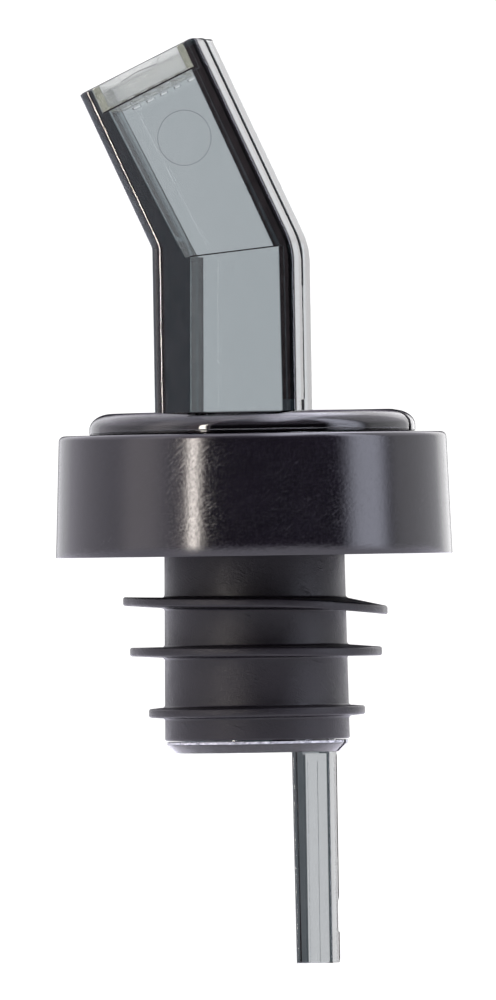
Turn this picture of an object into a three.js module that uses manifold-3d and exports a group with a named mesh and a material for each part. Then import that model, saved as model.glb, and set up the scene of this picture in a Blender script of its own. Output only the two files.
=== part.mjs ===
// Bottle pour spout: a bent, flat-sided spout of smoke plastic welded up from a
// front and a rear shell, a screen in its mouth, a breather tail below, a black
// collar and a ribbed black stopper that grips the inside of a bottle neck.
//
// Millimetres, +Z up. The stopper's axis is the Z axis and the tail's tip is at
// z = 0. The spout leans towards -X, called left here; right is +X. Its broad
// faces look along -Y (front) and +Y (rear).

import * as THREE from 'three';
import { mergeVertices } from 'three/addons/utils/BufferGeometryUtils.js';
import Module from 'manifold-3d';

const wasm = await Module();
wasm.setup();

const { degToRad, mapLinear } = THREE.MathUtils;

// ---------------------------------------------------------------- dimensions

const ROUND_SEGMENTS = 64;        // facets of every full turn
const OVERLAP = 0.5;              // how far joined solids run into each other
const PAST = 1;                   // how far a cutter runs past what it cuts

// Levels along the axis
const STACK_GAP = 0.15;           // above the stopper's head and above the collar
const DISC_GAP = 0.1;
const Z_TAIL_TIP = 0;
const Z_DISC_BOTTOM = 18.95;
const Z_DISC_TOP = 19.9;
const Z_STOPPER_BOTTOM = Z_DISC_TOP + DISC_GAP;
const Z_SKIRT_RIM = 36.5;
const Z_SEAT = 44.4;              // underside of the stopper's head, on the bottle lip
const Z_HEAD_TOP = 45.55;
const Z_COLLAR_CEILING = Z_HEAD_TOP + STACK_GAP;
const Z_COLLAR_TOP = 47.2;
const Z_FLANGE_BOTTOM = Z_COLLAR_TOP + STACK_GAP;
const Z_FLANGE_TOP = 49.15;
const Z_ELBOW = 64.0;

// Spout, outside
const SPOUT_LEFT = -8.27;         // narrow face on the inside of the bend
const SPOUT_RIGHT = 4.85;         // narrow face on the outside of the bend
const SPOUT_HALF_DEPTH = 3.1;
const SPOUT_EDGE_R = 0.45;        // rounding of its long edges
const RIM_CHAMFER = 0.35;         // corner of the rim on the outside of the bend
const CHAMFER_PAST = 0.01;        // how far the ends of its cut stand off the faces
const LEAN = degToRad(25);        // upper leg from vertical
const LEG_LENGTH = 15.23;         // upper leg, along its left edge
const LEG_BLANK_LENGTH = 24;      // the same before the rim is cut square
const LEG_WIDTH = (SPOUT_RIGHT - SPOUT_LEFT) * Math.cos(LEAN);
const ELBOW_R_LEFT = 1.2;         // inside of the bend
const ELBOW_R_RIGHT = 3.7;        // outside of the bend

// Flange, stem and retaining disc
const FLANGE_R = 14.55;
const FLANGE_ROUND_R = 2.0, FLANGE_ROUND_Z = 1.4;   // elliptical top edge
const FLANGE_ROUND_STEPS = 8;
const STEM_R = 7.0;
const DISC_R = 8.05, DISC_R_BOTTOM = 7.2;
const DISC_LAND = 0.12;           // straight band above the disc's cone

// Pouring channel, lower leg
const CHANNEL_HALF_DEPTH = 2.4;
const Z_CHANNEL_BOTTOM = 46.4;
const LOWER_CHANNEL = [           // x, z; narrows slightly upwards
  [-5.12, Z_CHANNEL_BOTTOM],
  [3.57, Z_CHANNEL_BOTTOM],
  [3.45, Z_ELBOW + 0.4],
  [-4.87, Z_ELBOW - 0.8],
];

// D-shaped bore below it, down the stem
const STEM_BORE_R = 5.9;
const STEM_BORE_FLAT = 2.7;       // the D's flat side, in x
const Z_STEM_BORE_TOP = Z_CHANNEL_BOTTOM + 0.3;

// Mouth and upper channel, in the leg's own frame: across it from the left
// edge, and along it from the elbow
const MOUTH_DEPTH = 2.45;
const LEDGE = LEG_LENGTH - MOUTH_DEPTH;   // floor of the mouth
const MOUTH_LEFT = 1.2, MOUTH_RIGHT = 10.6;
const MOUTH_HALF_DEPTH = 2.6;
const UPPER_LEFT_TOP = 1.7, UPPER_RIGHT = 10.28;
const UPPER_CHANNEL = [           // across, along
  [2.25, -2.1],
  [UPPER_RIGHT, -4.45],
  [UPPER_RIGHT, LEDGE + 0.2],
  [UPPER_LEFT_TOP, LEDGE + 0.2],
];
const NOTCH_WIDTH = 3.5, NOTCH_HEIGHT = 0.6, NOTCH_DEPTH = 0.2;

// Screen in the mouth
const SCREEN_GAP = 0.1;
const SCREEN_PLATE = 0.3;         // thickness of the perforated plate
const SCREEN_SIDE = 0.6;          // thickness of its left and right walls
const SCREEN_WALL = 0.25;         // and of its front and rear walls
const SCREEN_COLUMNS = 6, SCREEN_ROWS = 3;
const COLUMN_PITCH = 1.37, ROW_PITCH = 1.2;
const HOLE_WIDTH = 0.9, HOLE_DEPTH = 0.84;

// Air inlet and breather passage
const AIR_X0 = 4.1, AIR_X1 = 6.0, AIR_HALF_Y = 0.9, Z_AIR_TOP = 48.6;
const SLOT_X0 = AIR_X0 + 0.05;
const SLOT_Y0 = -1.25, SLOT_Y1 = -0.35, Z_SLOT_TOP = 50.4;
const SLOT_LIFT = 0.0005;         // keeps the slot's floor off the flange's top face
const SLOT_DROP_Y0 = SLOT_Y0 + 0.4;
const SOCKET_X0 = 3.6, SOCKET_X1 = 6.4, SOCKET_HALF_Y = 1.3, Z_SOCKET_TOP = 26.6;

// Breather tail
const SPIGOT_GAP = 0.1, SPIGOT_TOP_GAP = 0.4;
const TAIL_X0_TIP = 3.62, TAIL_X0_TOP = 3.48, TAIL_X1 = 6.77;
const TAIL_HALF_Y = 1.45, TAIL_EDGE_R = 0.16;
const Z_TAIL_SHOULDER = Z_DISC_BOTTOM - SPIGOT_GAP;
const TAIL_BORE_X0 = 4.72, TAIL_BORE_X1 = 6.45, TAIL_BORE_HALF_Y = 1.1;
const Z_TAIL_BORE_TOP = Z_TAIL_SHOULDER - 1;
const SPIGOT_BORE_X0 = 4.4, SPIGOT_BORE_X1 = 5.9, SPIGOT_BORE_HALF_Y = 0.75;
const Z_SPIGOT_BORE_BOTTOM = Z_TAIL_SHOULDER - 2;
const RECESS_Z0 = 2.8, RECESS_Z1 = 5.6, RECESS_Y0 = 0.6, RECESS_DEPTH = 0.12;

// Weld seam between the two shells
const SEAM_HALF_GAP = 0.05;
const SHELL_REACH = 120;          // bounds that hold the whole body

// Stopper
const STOPPER_BORE_R = STEM_R + 0.25;
const STOPPER_R_BOTTOM = 8.25, STOPPER_R_TOP = 8.05;
const STOPPER_CHAMFER = 0.15;
const HEAD_R = 12.4, HEAD_CHAMFER = 0.2;
const FINS = [                    // centre height, tip radius
  [22.5, 9.65],
  [27.9, 11.25],
  [32.2, 11.8],
];
const FIN_ROOT = 0.9, FIN_TIP = 0.68;     // thickness
const FIN_CHAMFER = 0.12;

// Collar
const COLLAR_R_RIM = 17.7, COLLAR_R_TOP = 17.3, COLLAR_EDGE_R = 0.5;
const COLLAR_CHAMFER = 0.15;
const COLLAR_BORE_R = STEM_R + 0.3;
const SKIRT_R_RIM = 15.8, SKIRT_R_CEILING = 15.3, SKIRT_FILLET = 0.8;   // inside

// ------------------------------------------------------------------- helpers

function solid(geometry) {
  // With only positions left, vertices weld across creases and seams.
  geometry.deleteAttribute('normal');
  geometry.deleteAttribute('uv');
  const merged = mergeVertices(geometry, 1e-5);
  return new wasm.Manifold(new wasm.Mesh({
    numProp: 3,
    vertProperties: new Float32Array(merged.attributes.position.array),
    triVerts: new Uint32Array(merged.index.array),
  }));
}

function geometryOf(manifold) {
  const mesh = manifold.getMesh();
  const geometry = new THREE.BufferGeometry();
  geometry.setAttribute('position', new THREE.Float32BufferAttribute(mesh.vertProperties, 3));
  geometry.setIndex(new THREE.Uint32BufferAttribute(mesh.triVerts, 1));
  geometry.computeVertexNormals();
  return geometry;
}

function joinAll(solids) {
  return solids.reduce((sum, part) => sum.add(part));
}

function box(x0, x1, y0, y1, z0, z1) {
  const geometry = new THREE.BoxGeometry(x1 - x0, y1 - y0, z1 - z0);
  geometry.translate((x0 + x1) / 2, (y0 + y1) / 2, (z0 + z1) / 2);
  return solid(geometry);
}

// A closed outline in (x, z), extruded along y from -half to +half.
function slab(points, half, edge = 0) {
  const shape = new THREE.Shape(points.map(([x, z]) => new THREE.Vector2(x, z)));
  const geometry = new THREE.ExtrudeGeometry(shape, {
    depth: 2 * (half - edge),
    bevelEnabled: edge > 0,
    bevelThickness: edge,
    bevelSize: edge,
    bevelOffset: -edge,
    bevelSegments: 3,
    steps: 1,
  });
  geometry.translate(0, 0, -(half - edge));
  geometry.rotateX(Math.PI / 2);
  return solid(geometry);
}

// A profile of (r, z) points turned about the Z axis.
function lathe(profile) {
  const points = profile.map(([r, z]) => new THREE.Vector2(r, z));
  const geometry = new THREE.LatheGeometry(points, ROUND_SEGMENTS);
  geometry.rotateX(Math.PI / 2);   // from +Y, the lathe's own axis, to +Z
  return geometry;
}

// Points that round the corner of the path before-corner-after.
function rounded(before, corner, after, radius, steps) {
  const apex = new THREE.Vector2(...corner);
  const toBefore = new THREE.Vector2(...before).sub(apex).normalize();
  const toAfter = new THREE.Vector2(...after).sub(apex).normalize();
  const halfAngle = Math.acos(toBefore.dot(toAfter)) / 2;
  const reach = radius / Math.tan(halfAngle);
  const bisector = toBefore.clone().add(toAfter).normalize();
  const centre = apex.clone().addScaledVector(bisector, radius / Math.sin(halfAngle));
  const first = apex.clone().addScaledVector(toBefore, reach);
  const last = apex.clone().addScaledVector(toAfter, reach);
  const startAngle = Math.atan2(first.y - centre.y, first.x - centre.x);
  let turn = Math.atan2(last.y - centre.y, last.x - centre.x) - startAngle;
  if (turn > Math.PI) turn -= 2 * Math.PI;
  if (turn < -Math.PI) turn += 2 * Math.PI;
  return Array.from({ length: steps + 1 }, (_, i) => {
    const angle = startAngle + turn * i / steps;
    return [centre.x + radius * Math.cos(angle), centre.y + radius * Math.sin(angle)];
  });
}

// From the upper leg's frame to (x, z).
function legPoint(across, along) {
  return [
    SPOUT_LEFT + across * Math.cos(LEAN) - along * Math.sin(LEAN),
    Z_ELBOW + across * Math.sin(LEAN) + along * Math.cos(LEAN),
  ];
}

// A box given in the upper leg's frame.
function legBox(across0, across1, y0, y1, along0, along1) {
  return slab([
    legPoint(across0, along0),
    legPoint(across1, along0),
    legPoint(across1, along1),
    legPoint(across0, along1),
  ], (y1 - y0) / 2).translate([0, (y0 + y1) / 2, 0]);
}

// ------------------------------------------------- the two shells of the spout

function bentSpout() {
  const base = Z_FLANGE_BOTTOM + OVERLAP;
  const leftBase = [SPOUT_LEFT, base];
  const rightBase = [SPOUT_RIGHT, base];
  const leftEnd = legPoint(0, LEG_BLANK_LENGTH);
  const rightEnd = legPoint(LEG_WIDTH, LEG_BLANK_LENGTH);
  const blank = slab([
    leftBase,
    rightBase,
    ...rounded(rightBase, [SPOUT_RIGHT, Z_ELBOW], rightEnd, ELBOW_R_RIGHT, 6),
    rightEnd,
    leftEnd,
    ...rounded(leftEnd, [SPOUT_LEFT, Z_ELBOW], leftBase, ELBOW_R_LEFT, 4),
  ], SPOUT_HALF_DEPTH, SPOUT_EDGE_R);

  // Cutting the blank leaves the rim with sharp edges.
  const cutHalf = SPOUT_HALF_DEPTH + PAST;
  const rimCut = legBox(-PAST, LEG_WIDTH + PAST, -cutHalf, cutHalf,
    LEG_LENGTH, LEG_BLANK_LENGTH + PAST);
  const cornerCut = slab([
    legPoint(LEG_WIDTH - RIM_CHAMFER, LEG_LENGTH + CHAMFER_PAST),
    legPoint(LEG_WIDTH + CHAMFER_PAST, LEG_LENGTH - RIM_CHAMFER),
    legPoint(LEG_WIDTH + PAST, LEG_LENGTH + PAST),
  ], cutHalf);
  return blank.subtract(rimCut).subtract(cornerCut);
}

function flange() {
  const profile = [[0, Z_FLANGE_BOTTOM], [FLANGE_R, Z_FLANGE_BOTTOM]];
  for (let i = 0; i <= FLANGE_ROUND_STEPS; i++) {
    const angle = (i / FLANGE_ROUND_STEPS) * Math.PI / 2;
    profile.push([
      FLANGE_R - FLANGE_ROUND_R + FLANGE_ROUND_R * Math.cos(angle),
      Z_FLANGE_TOP - FLANGE_ROUND_Z + FLANGE_ROUND_Z * Math.sin(angle),
    ]);
  }
  profile.push([0, Z_FLANGE_TOP]);
  return solid(lathe(profile));
}

function stemAndDisc() {
  return solid(lathe([
    [0, Z_DISC_BOTTOM],
    [DISC_R_BOTTOM, Z_DISC_BOTTOM],
    [DISC_R, Z_DISC_TOP - DISC_LAND],
    [DISC_R, Z_DISC_TOP],
    [STEM_R, Z_DISC_TOP],
    [STEM_R, Z_FLANGE_BOTTOM + OVERLAP],
    [0, Z_FLANGE_BOTTOM + OVERLAP],
  ]));
}

function pouringPassage() {
  const upperOutline = UPPER_CHANNEL.map(([across, along]) => legPoint(across, along));
  const mouth = legBox(MOUTH_LEFT, MOUTH_RIGHT, -MOUTH_HALF_DEPTH, MOUTH_HALF_DEPTH,
    LEDGE, LEG_LENGTH + PAST);
  const stemBore = solid(lathe([
    [0, Z_DISC_BOTTOM - PAST],
    [STEM_BORE_R, Z_DISC_BOTTOM - PAST],
    [STEM_BORE_R, Z_STEM_BORE_TOP],
    [0, Z_STEM_BORE_TOP],
  ]));
  const beyondFlat = box(STEM_BORE_FLAT, STEM_BORE_R + PAST,
    -STEM_BORE_R - PAST, STEM_BORE_R + PAST,
    Z_DISC_BOTTOM - 2 * PAST, Z_STEM_BORE_TOP + PAST);
  return joinAll([
    slab(LOWER_CHANNEL, CHANNEL_HALF_DEPTH),
    slab(upperOutline, CHANNEL_HALF_DEPTH),
    mouth,
    stemBore.subtract(beyondFlat),
  ]);
}

// Shallow notch in the front face, at the rim.
function rimNotch() {
  const middle = (MOUTH_LEFT + MOUTH_RIGHT) / 2;
  return legBox(middle - NOTCH_WIDTH / 2, middle + NOTCH_WIDTH / 2,
    -SPOUT_HALF_DEPTH - PAST, -SPOUT_HALF_DEPTH + NOTCH_DEPTH,
    LEG_LENGTH - NOTCH_HEIGHT, LEG_LENGTH + PAST);
}

// From the tail's socket up the stem, and out through the spout's right face.
function airPassage() {
  return joinAll([
    box(SOCKET_X0, SOCKET_X1, -SOCKET_HALF_Y, SOCKET_HALF_Y,
      Z_DISC_BOTTOM - PAST, Z_SOCKET_TOP),
    box(AIR_X0, AIR_X1, -AIR_HALF_Y, AIR_HALF_Y, Z_SOCKET_TOP - OVERLAP, Z_AIR_TOP),
    box(SLOT_X0, SPOUT_RIGHT + PAST, SLOT_Y0, SLOT_Y1, Z_FLANGE_TOP + SLOT_LIFT, Z_SLOT_TOP),
    // Drop through the flange that joins the slot to the passage below
    box(SLOT_X0, SPOUT_RIGHT, SLOT_DROP_Y0, SLOT_Y1,
      Z_AIR_TOP - OVERLAP, Z_FLANGE_TOP + OVERLAP),
  ]);
}

function shells() {
  const body = joinAll([bentSpout(), flange(), stemAndDisc()])
    .subtract(joinAll([pouringPassage(), rimNotch(), airPassage()]));
  const between = (y0, y1) => body.intersect(
    box(-SHELL_REACH, SHELL_REACH, y0, y1, -SHELL_REACH, SHELL_REACH));
  return {
    front: between(-SHELL_REACH, -SEAM_HALF_GAP),
    rear: between(SEAM_HALF_GAP, SHELL_REACH),
  };
}

// -------------------------------------------------------------- mouth screen

// An open-topped tray with a perforated floor.
function mouthScreen() {
  const left = MOUTH_LEFT + SCREEN_GAP;
  const right = MOUTH_RIGHT - SCREEN_GAP;
  const half = MOUTH_HALF_DEPTH - SCREEN_GAP;
  const bottom = LEDGE + SCREEN_GAP;
  const floor = bottom + SCREEN_PLATE;
  const top = LEG_LENGTH - SCREEN_GAP;
  const frame = legBox(left, right, -half, half, bottom, top);
  const inside = legBox(left + SCREEN_SIDE, right - SCREEN_SIDE,
    -half + SCREEN_WALL, half - SCREEN_WALL, floor, top + PAST);

  const middle = (UPPER_LEFT_TOP + UPPER_RIGHT) / 2;
  const holes = [];
  for (let i = 0; i < SCREEN_COLUMNS; i++) {
    for (let j = 0; j < SCREEN_ROWS; j++) {
      const across = middle + (i - (SCREEN_COLUMNS - 1) / 2) * COLUMN_PITCH;
      const y = (j - (SCREEN_ROWS - 1) / 2) * ROW_PITCH;
      holes.push(legBox(across - HOLE_WIDTH / 2, across + HOLE_WIDTH / 2,
        y - HOLE_DEPTH / 2, y + HOLE_DEPTH / 2, bottom - PAST, floor + PAST));
    }
  }
  return frame.subtract(inside).subtract(joinAll(holes));
}

// -------------------------------------------------------------- breather tail

function breatherTail() {
  const tube = slab([
    [TAIL_X0_TIP, Z_TAIL_TIP],
    [TAIL_X1, Z_TAIL_TIP],
    [TAIL_X1, Z_TAIL_SHOULDER],
    [TAIL_X0_TOP, Z_TAIL_SHOULDER],
  ], TAIL_HALF_Y, TAIL_EDGE_R);
  const spigot = box(SOCKET_X0 + SPIGOT_GAP, SOCKET_X1 - SPIGOT_GAP,
    -SOCKET_HALF_Y + SPIGOT_GAP, SOCKET_HALF_Y - SPIGOT_GAP,
    Z_TAIL_SHOULDER - OVERLAP, Z_SOCKET_TOP - SPIGOT_TOP_GAP);
  const bore = box(TAIL_BORE_X0, TAIL_BORE_X1, -TAIL_BORE_HALF_Y, TAIL_BORE_HALF_Y,
    Z_TAIL_TIP - PAST, Z_TAIL_BORE_TOP);
  const spigotBore = box(SPIGOT_BORE_X0, SPIGOT_BORE_X1,
    -SPIGOT_BORE_HALF_Y, SPIGOT_BORE_HALF_Y, Z_SPIGOT_BORE_BOTTOM, Z_SOCKET_TOP + PAST);
  // Shallow recess in the right face, open to the rear
  const recess = box(TAIL_X1 - RECESS_DEPTH, TAIL_X1 + PAST,
    RECESS_Y0, TAIL_HALF_Y + PAST, RECESS_Z0, RECESS_Z1);
  return tube.add(spigot).subtract(joinAll([bore, spigotBore, recess]));
}

// -------------------------------------------------------------------- stopper

// The sleeve tapers from its foot to the level of the skirt's rim.
function sleeveRadius(z) {
  return mapLinear(z, Z_STOPPER_BOTTOM, Z_SKIRT_RIM, STOPPER_R_BOTTOM, STOPPER_R_TOP);
}

function finProfile([z, tipR]) {
  const rootLow = z - FIN_ROOT / 2, rootHigh = z + FIN_ROOT / 2;
  const tipLow = z - FIN_TIP / 2, tipHigh = z + FIN_TIP / 2;
  return [
    [sleeveRadius(rootLow), rootLow],
    [tipR - FIN_CHAMFER, tipLow],
    [tipR, tipLow + FIN_CHAMFER],
    [tipR, tipHigh - FIN_CHAMFER],
    [tipR - FIN_CHAMFER, tipHigh],
    [sleeveRadius(rootHigh), rootHigh],
  ];
}

function stopper() {
  return lathe([
    [STOPPER_BORE_R, Z_STOPPER_BOTTOM],
    [STOPPER_R_BOTTOM - STOPPER_CHAMFER, Z_STOPPER_BOTTOM],
    [STOPPER_R_BOTTOM, Z_STOPPER_BOTTOM + STOPPER_CHAMFER],
    ...FINS.flatMap(finProfile),
    [STOPPER_R_TOP, Z_SKIRT_RIM],
    [STOPPER_R_TOP, Z_SEAT],
    [HEAD_R, Z_SEAT],
    [HEAD_R, Z_HEAD_TOP - HEAD_CHAMFER],
    [HEAD_R - HEAD_CHAMFER, Z_HEAD_TOP],
    [STOPPER_BORE_R, Z_HEAD_TOP],
    [STOPPER_BORE_R, Z_STOPPER_BOTTOM],
  ]);
}

// --------------------------------------------------------------------- collar

function collar() {
  const boreBottom = [COLLAR_BORE_R, Z_COLLAR_CEILING];
  const boreTop = [COLLAR_BORE_R, Z_COLLAR_TOP];
  const skirtRim = [SKIRT_R_RIM, Z_SKIRT_RIM];
  return lathe([
    boreBottom,
    ...rounded(boreBottom, [SKIRT_R_CEILING, Z_COLLAR_CEILING], skirtRim, SKIRT_FILLET, 3),
    skirtRim,
    [COLLAR_R_RIM - COLLAR_CHAMFER, Z_SKIRT_RIM],
    [COLLAR_R_RIM, Z_SKIRT_RIM + COLLAR_CHAMFER],
    ...rounded([COLLAR_R_RIM, Z_SKIRT_RIM], [COLLAR_R_TOP, Z_COLLAR_TOP], boreTop,
      COLLAR_EDGE_R, 4),
    boreTop,
    boreBottom,
  ]);
}

// ------------------------------------------------------------------- assembly

const SMOKE = { color: 0x59605f, roughness: 0.08, metalness: 0 };
const CLEAR = { color: 0xa3a296, roughness: 0.25, metalness: 0 };
const STOPPER_BLACK = { color: 0x28252b, roughness: 0.62, metalness: 0 };
const COLLAR_BLACK = { color: 0x1d1b21, roughness: 0.42, metalness: 0 };

function piece(name, geometry, look) {
  const mesh = new THREE.Mesh(geometry, new THREE.MeshStandardMaterial(look));
  mesh.name = name;
  return mesh;
}

const { front, rear } = shells();
const spoutGroup = new THREE.Group();
spoutGroup.add(
  piece('spout_front_shell', geometryOf(front), SMOKE),
  piece('spout_rear_shell', geometryOf(rear), SMOKE),
  piece('mouth_screen', geometryOf(mouthScreen()), CLEAR),
  piece('breather_tail', geometryOf(breatherTail()), SMOKE),
);

const group = new THREE.Group();
group.add(
  spoutGroup,
  piece('stopper_sleeve', stopper(), STOPPER_BLACK),
  piece('collar', collar(), COLLAR_BLACK),
);

export default group;
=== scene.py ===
"""A pouring spout with its stopper, collar and breather tail.

The stem stands on the Z axis. The breather tail reaches down to z = 0, and above the flange the
spout bends at an elbow and leans towards -X. The front is -Y and the rear +Y; the two spout
shells meet on y = 0. Dimensions are in mm and become metres when a mesh is made.
"""
import math

import bmesh
import bpy
from mathutils import Matrix, Vector


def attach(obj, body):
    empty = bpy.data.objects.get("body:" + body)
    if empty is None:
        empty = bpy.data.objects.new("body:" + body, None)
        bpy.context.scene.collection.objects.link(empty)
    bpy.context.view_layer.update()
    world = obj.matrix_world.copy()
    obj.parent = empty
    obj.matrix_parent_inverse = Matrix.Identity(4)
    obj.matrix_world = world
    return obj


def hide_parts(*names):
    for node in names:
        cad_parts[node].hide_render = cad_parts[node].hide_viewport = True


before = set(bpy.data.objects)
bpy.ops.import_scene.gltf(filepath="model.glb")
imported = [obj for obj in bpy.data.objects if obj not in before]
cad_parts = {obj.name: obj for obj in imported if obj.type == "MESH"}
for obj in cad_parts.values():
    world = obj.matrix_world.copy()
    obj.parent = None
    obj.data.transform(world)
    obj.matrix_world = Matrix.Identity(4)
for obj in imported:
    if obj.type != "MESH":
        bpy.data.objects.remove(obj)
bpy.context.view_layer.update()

MILLI = 0.001                              # metres in a millimetre
VIEW_AZIMUTH = math.radians(15.0)          # from -Y towards +X
scene = bpy.context.scene

# ------------------------------------------------------------------ driving dimensions
LEFT, RIGHT = -8.27, 4.85                  # narrow faces of the spout below the elbow
HALF_DEPTH = 3.1
ELBOW_Z = 64.0
LEAN_DEGREES = 25
LEAN = math.radians(LEAN_DEGREES)
ALONG_LEG = (-math.sin(LEAN), math.cos(LEAN))
ACROSS_LEG = (math.cos(LEAN), math.sin(LEAN))
LEG_LENGTH = 15.23                         # the leaning leg above the elbow
LEG_WIDTH = (RIGHT - LEFT) * math.cos(LEAN)
BEND_INNER, BEND_OUTER = 1.2, 6.6          # radii of the elbow, left and right
EDGE_RADIUS = 0.45                         # long edges of the spout
TIP_RADIUS = 0.45                          # right corner of the leg's end

MOUTH_DEPTH = 2.45                         # counterbore at the end of the leg
MOUTH_LEFT, MOUTH_RIGHT = 1.2, 10.6        # measured across the leg
MOUTH_HALF = 2.7
LEDGE = LEG_LENGTH - MOUTH_DEPTH           # floor of the counterbore, along the leg
CHANNEL_HALF = 2.4                         # half depth of the pouring channel
CHANNEL_LEFT, CHANNEL_RIGHT = 1.70, 10.3   # where it meets the ledge, across the leg
NOTCH_DEPTH = 0.1
SEAM = 0.03                                # half the gap between the shells

FLANGE_TOP, FLANGE_BOTTOM = 49.28, 47.35
FLANGE_RADIUS = 14.55
STEM_RADIUS = 7.0
DISC_RADIUS = 8.05                         # retaining disc at the foot of the stem
DISC_BOTTOM, DISC_TOP = 18.87, 19.9
BORE_RADIUS, BORE_FLAT_X = 5.9, 2.7        # D-shaped bore up the stem
BORE_BOTTOM, BORE_TOP = 16.7, 46.7

TAIL_RIGHT, TAIL_HALF = 6.95, 1.45


def leg(across, along):
    """The (x, z) of a point on the leaning leg, measured from the elbow's left end."""
    return (LEFT + across * ACROSS_LEG[0] + along * ALONG_LEG[0],
            ELBOW_Z + across * ACROSS_LEG[1] + along * ALONG_LEG[1])


# ------------------------------------------------------------------ outlines
def arc(centre_x, centre_z, radius, start, end, steps):
    """Points along an arc; its angles are in degrees."""
    angles = [math.radians(start + (end - start) * i / steps) for i in range(steps + 1)]
    return [(centre_x + radius * math.cos(a), centre_z + radius * math.sin(a)) for a in angles]


def fillet(before, corner, after, radius, steps):
    """Points that round the corner of the path before-corner-after."""
    corner = Vector(corner)
    back, ahead = (Vector(before) - corner).normalized(), (Vector(after) - corner).normalized()
    half_angle = math.acos(max(-1, min(1, back.dot(ahead)))) / 2
    reach = radius / math.tan(half_angle)
    centre = corner + (back + ahead).normalized() * (radius / math.sin(half_angle))
    first, last = corner + back * reach, corner + ahead * reach
    start = math.atan2(first.y - centre.y, first.x - centre.x)
    turn = math.atan2(last.y - centre.y, last.x - centre.x) - start
    if turn > math.pi:
        turn -= 2 * math.pi
    if turn < -math.pi:
        turn += 2 * math.pi
    return [(centre.x + radius * math.cos(start + turn * i / steps),
             centre.y + radius * math.sin(start + turn * i / steps)) for i in range(steps + 1)]


def offset_outline(outline, insets):
    """Moves edge i (point i to i+1) of a counter-clockwise outline inwards by insets[i]."""
    lines = []
    for i, (x0, z0) in enumerate(outline):
        x1, z1 = outline[(i + 1) % len(outline)]
        dx, dz = x1 - x0, z1 - z0
        length = math.hypot(dx, dz)
        normal_x, normal_z = -dz / length, dx / length
        lines.append((x0 + normal_x * insets[i], z0 + normal_z * insets[i],
                      dx / length, dz / length))
    moved = []
    for i, (x1, z1, dx1, dz1) in enumerate(lines):
        x0, z0, dx0, dz0 = lines[i - 1]
        cross = dx0 * dz1 - dz0 * dx1
        if abs(cross) < 1e-9:
            moved.append((x1, z1))
            continue
        distance = ((x1 - x0) * dz1 - (z1 - z0) * dx1) / cross
        moved.append((x0 + dx0 * distance, z0 + dz0 * distance))
    return moved


# ------------------------------------------------------------------ mesh builders
def clean_mesh(mesh, drop_loose):
    """Merges doubled vertices and turns the normals outwards."""
    bm = bmesh.new()
    bm.from_mesh(mesh)
    bmesh.ops.remove_doubles(bm, verts=bm.verts, dist=1e-8)
    if drop_loose:
        loose = [vert for vert in bm.verts if not vert.link_faces]
        bmesh.ops.delete(bm, geom=loose, context="VERTS")
    bmesh.ops.recalc_face_normals(bm, faces=bm.faces)
    bm.to_mesh(mesh)
    bm.free()


def make(name, verts, faces):
    """An object from vertices in mm."""
    mesh = bpy.data.meshes.new(name)
    mesh.from_pydata([(x * MILLI, y * MILLI, z * MILLI) for x, y, z in verts], [], faces)
    mesh.validate()
    mesh.update()
    ob = bpy.data.objects.new(name, mesh)
    scene.collection.objects.link(ob)
    clean_mesh(mesh, drop_loose=False)
    return ob


def prism(name, outline, half, radius=0.0, segments=6, rounding=None, y_mid=0.0):
    """A counter-clockwise (x, z) outline extruded along y, its long edges rounded.

    rounding[i] scales the radius on edge i.
    """
    count = len(outline)
    rounding = rounding or [1.0] * count
    levels = [(-half, 0.0), (half, 0.0)]       # (y, inset)
    if radius > 0:
        angles = [(k / segments) * math.pi / 2 for k in range(segments + 1)]
        levels = [(-(half - radius) - radius * math.sin(a), radius * (1 - math.cos(a)))
                  for a in reversed(angles)]
        levels += [((half - radius) + radius * math.sin(a), radius * (1 - math.cos(a)))
                   for a in angles]
    verts, faces = [], []
    for y, inset in levels:
        ring = offset_outline(outline, [inset * scale for scale in rounding])
        verts += [(x, y + y_mid, z) for x, z in ring]
    for k in range(len(levels) - 1):
        for i in range(count):
            j = (i + 1) % count
            faces.append((k * count + i, k * count + j,
                          (k + 1) * count + j, (k + 1) * count + i))
    faces.append(tuple(range(count)))
    last = (len(levels) - 1) * count
    faces.append(tuple(last + i for i in reversed(range(count))))
    return make(name, verts, faces)


def box(name, x_range, y_range, z_range):
    (x0, x1), (y0, y1), (z0, z1) = x_range, y_range, z_range
    return prism(name, [(x0, z0), (x1, z0), (x1, z1), (x0, z1)], (y1 - y0) / 2,
                 y_mid=(y0 + y1) / 2)


def leg_box(name, across, y_range, along, radius=0.0):
    """A box square to the leaning leg."""
    (s0, s1), (y0, y1), (t0, t1) = across, y_range, along
    return prism(name, [leg(s0, t0), leg(s1, t0), leg(s1, t1), leg(s0, t1)], (y1 - y0) / 2,
                 radius=radius, segments=3, y_mid=(y0 + y1) / 2)


def lathe(name, profile, count=192, closed_ring=False):
    """A profile of (r, z) turned about Z. closed_ring joins its last point to its first."""
    verts, rows, faces = [], [], []
    for radius, z in profile:
        start = len(verts)
        if radius < 1e-6:
            verts.append((0.0, 0.0, z))
        else:
            for i in range(count):
                angle = 2 * math.pi * i / count
                verts.append((radius * math.cos(angle), radius * math.sin(angle), z))
        rows.append(list(range(start, len(verts))))
    pairs = list(zip(rows, rows[1:]))
    if closed_ring:
        pairs.append((rows[-1], rows[0]))
    for low, high in pairs:
        for i in range(count):
            j = (i + 1) % count
            if len(low) == 1:
                faces.append((low[0], high[i], high[j]))
            elif len(high) == 1:
                faces.append((low[i], high[0], low[j]))
            else:
                faces.append((low[i], high[i], high[j], low[j]))
    return make(name, verts, faces)


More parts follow.
